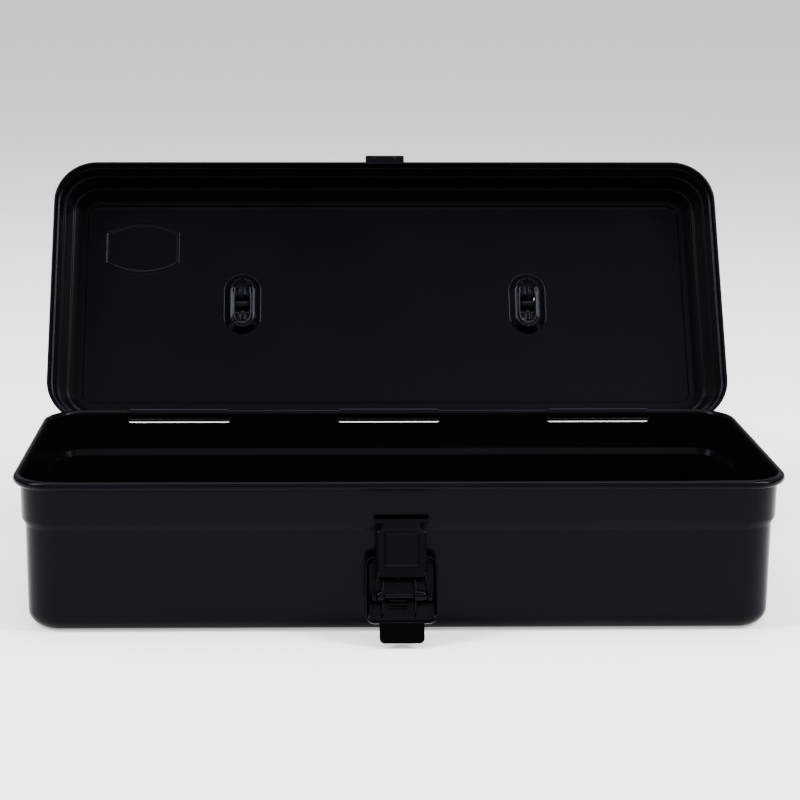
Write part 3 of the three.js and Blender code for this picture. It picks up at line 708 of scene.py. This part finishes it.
def pin_place(turn):
    """The link pin, out from the wall and up from the floor, with the lever turned down by degrees."""
    s, c = math.sin(math.radians(turn)), math.cos(math.radians(turn))
    return Vector((PIVOT_OUT + PIN_UP * s - PIN_BACK * c, PIVOT_Z + PIN_UP * c + PIN_BACK * s))


hung = pin_place(LEVER_TURN)
LINK_L = (GRIP - pin_place(LATCHED_TURN)).length
lean = math.asin((LOWER_IN - (ROLL - SHEET) + HOOK_OUT + GAP - hung.x) / LINK_L)
LINK_AT = Matrix.Translation((0, (WALL_Y - hung.x) * MM, hung.y * MM))
LINK_AT = LINK_AT @ Matrix.Rotation(lean, 4, "X")
MID = (PLATE_LOW + LINK_L) / 2

half_w = LINK_W / 2
rows = lines(PLATE_LOW - 0.7, LINK_L, [(PLATE_LOW - 0.7, LINK_L)], 0.5, 1)
cols = lines(-half_w, half_w, [(-half_w, half_w)], 0.45, 1)


def plate_out(x, z):
    """How far out the plate's face stands: a soft raised square and gently rolled side edges."""
    d = max(abs(x), abs(z - MID)) - SQUARE
    return SQUARE_UP * smooth(-d / 1.1) - 0.35 * smooth((abs(x) - half_w + 1.1) / 1.1) ** 2


def narrowing(z):
    """How much each side of the plate draws in: a neck under the hook and eased lower corners."""
    neck = HOOK_NECK * smooth((z - (LINK_L - 4.3)) / 1.3)
    return neck + 1.6 * smooth((PLATE_LOW + 1.0 - z) / 1.7) ** 2


verts, faces = [], []
for back in (0.0, THIN):
    for z in rows:
        share = half_w - narrowing(z)
        verts += [(x * share / half_w, -HOOK_OUT - plate_out(x, z) + back, z) for x in cols]
nc = len(cols)
total = len(rows) * nc
for j in range(len(rows) - 1):
    for i in range(nc - 1):
        a = j * nc + i
        faces.append((a, a + 1, a + nc + 1, a + nc))
        faces.append((a + total, a + total + nc, a + total + nc + 1, a + total + 1))
    for i in (0, nc - 1):
        a = j * nc + i
        faces.append((a, a + nc, a + nc + total, a + total))
for j in (0, len(rows) - 1):
    for i in range(nc - 1):
        a = j * nc + i
        faces.append((a, a + total, a + total + 1, a + 1))
link = mesh("link_plate", verts, faces, black, LINK_AT)
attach(link, "link")
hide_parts("latch_link")
mid_r = HOOK_IN + THIN / 2
turns = [math.radians(a) for a in range(-15, 211, 9)]
curl = [(-mid_r * math.cos(a), LINK_L + mid_r * math.sin(a)) for a in turns]
roll = strip("link_hook", curl, THIN, -half_w - HOOK_PAST, half_w + HOOK_PAST, LINK_AT, cross=1)
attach(bead(roll, 0.15), "link")
for side in (-1, 1):
    leg = [(EAR_R, 0), (-HOOK_IN, PLATE_LOW + 1.5), (-HOOK_OUT, PLATE_LOW + 1.5)]
    leg += arc(0, 0, EAR_R, 180, 360, 14)[:-1]
    verts = []
    for thick in (0.0, THIN):
        for y, z in leg:
            spread = (LEG_OUT - half_w + 0.6) * smooth(1 - (z - 1) / (PLATE_LOW - 1))
            verts.append((side * (half_w - 0.6 - thick + spread), y, z))
    n = len(leg)
    faces = [tuple(range(n)), tuple(range(2 * n - 1, n - 1, -1))]
    faces += [(i, (i + 1) % n, n + (i + 1) % n, n + i) for i in range(n)]
    piece = mesh(f"link_leg_{'left' if side < 0 else 'right'}", verts, faces, black, LINK_AT)
    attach(bead(piece, 0.12, 2), "link")

# ---------------------------------------------------------------------------
# Studio: a plain pale paper floor under a soft sky, wide soft lights above and in front, a narrow tall
# one at each side, and the camera.
# ---------------------------------------------------------------------------
# Matt paper with a faint fibre. It glows a little, so that shadows on it stay pale.
paper = bpy.data.materials.new("White studio paper, matt")
paper.use_nodes = True
tree = paper.node_tree
tree.nodes.clear()
at = add(tree, "ShaderNodeTexCoord").outputs["Object"]
fibre = add(tree, "ShaderNodeTexNoise", {"Scale": 180.0, "Detail": 3.0}, {"Vector": at})
shade = add(tree, "ShaderNodeMix", {"data_type": "RGBA"}, {"Factor": fibre.outputs["Fac"]})
shade.inputs[6].default_value = linear("f4f4f4")
shade.inputs[7].default_value = linear("f8f8f8")
skin = add(tree, "ShaderNodeBsdfPrincipled", {"Roughness": 0.9, "IOR": 1.45, "Emission Strength": 0.45},
           {"Base Color": shade.outputs[2], "Emission Color": shade.outputs[2]})
add(tree, "ShaderNodeOutputMaterial", {}, {"Surface": skin.outputs["BSDF"]})
FLOOR_HALF, FLOOR_Z = 30000, -0.02
corners = [(sx * FLOOR_HALF, sy * FLOOR_HALF, FLOOR_Z) for sx, sy in ((-1, -1), (1, -1), (1, 1), (-1, 1))]
floor = mesh("studio_floor", corners, [(0, 1, 2, 3)], paper)
floor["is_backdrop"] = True

world = bpy.data.worlds.new("Studio")
bpy.context.scene.world = world
world.use_nodes = True
tree = world.node_tree
tree.nodes.clear()
toward = add(tree, "ShaderNodeTexCoord").outputs["Generated"]
height = add(tree, "ShaderNodeSeparateXYZ", {}, {"Vector": toward})
fade = add(tree, "ShaderNodeMapRange",
           {"From Min": 0.0, "From Max": 0.5, "To Min": 0.2, "To Max": 0.8,
            "interpolation_type": "SMOOTHSTEP"}, {"Value": height.outputs["Z"]})
sky = add(tree, "ShaderNodeBackground", {"Color": linear("eef3ff")}, {"Strength": fade.outputs["Result"]})
add(tree, "ShaderNodeOutputWorld", {}, {"Surface": sky.outputs["Background"]})


def lamp(name, place, aim, width, height, watts):
    """A soft rectangular lamp at a place in metres, turned towards its aim."""
    data = bpy.data.lights.new(name, "AREA")
    data.shape = "RECTANGLE"
    data.size, data.size_y, data.energy = width, height, watts
    obj = bpy.data.objects.new(name, data)
    bpy.context.scene.collection.objects.link(obj)
    obj.location = place
    obj.rotation_euler = (Vector(aim) - Vector(place)).to_track_quat("-Z", "Y").to_euler()
    obj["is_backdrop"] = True
    return obj


lamp("Top softbox", (0.0, 0.1, 1.2), (0, 0.0, 0.03), 1.2, 0.5, 18)
lamp("Left softbox", (-1.0, -0.35, 1.0), (0, 0.05, 0.1), 0.2, 0.9, 32)
lamp("Right softbox", (1.0, -0.35, 1.0), (0, 0.05, 0.1), 0.2, 0.9, 32)
lamp("Front softbox", (0.25, -1.55, 1.25), (0, 0.08, 0.1), 2.2, 1.1, 17)

camera_data = bpy.data.cameras.new("Camera")
camera_data.lens = 85.8015
camera_data.shift_x = 0.075
camera = bpy.data.objects.new("Camera", camera_data)
bpy.context.scene.collection.objects.link(camera)
yaw, pitch, turn = math.radians(0.99), math.radians(13.19), math.radians(0.12)
forward = Vector((math.sin(yaw) * math.cos(pitch), math.cos(yaw) * math.cos(pitch), -math.sin(pitch)))
right0 = Vector((math.cos(yaw), -math.sin(yaw), 0))
up0 = right0.cross(forward)
right = right0 * math.cos(turn) + up0 * math.sin(turn)
upward = up0 * math.cos(turn) - right0 * math.sin(turn)
basis = Matrix((right, upward, -forward)).transposed().to_4x4()
camera.matrix_world = Matrix.Translation((-0.03919, -0.83368, 0.28297)) @ basis
bpy.context.scene.camera = camera

low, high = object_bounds()
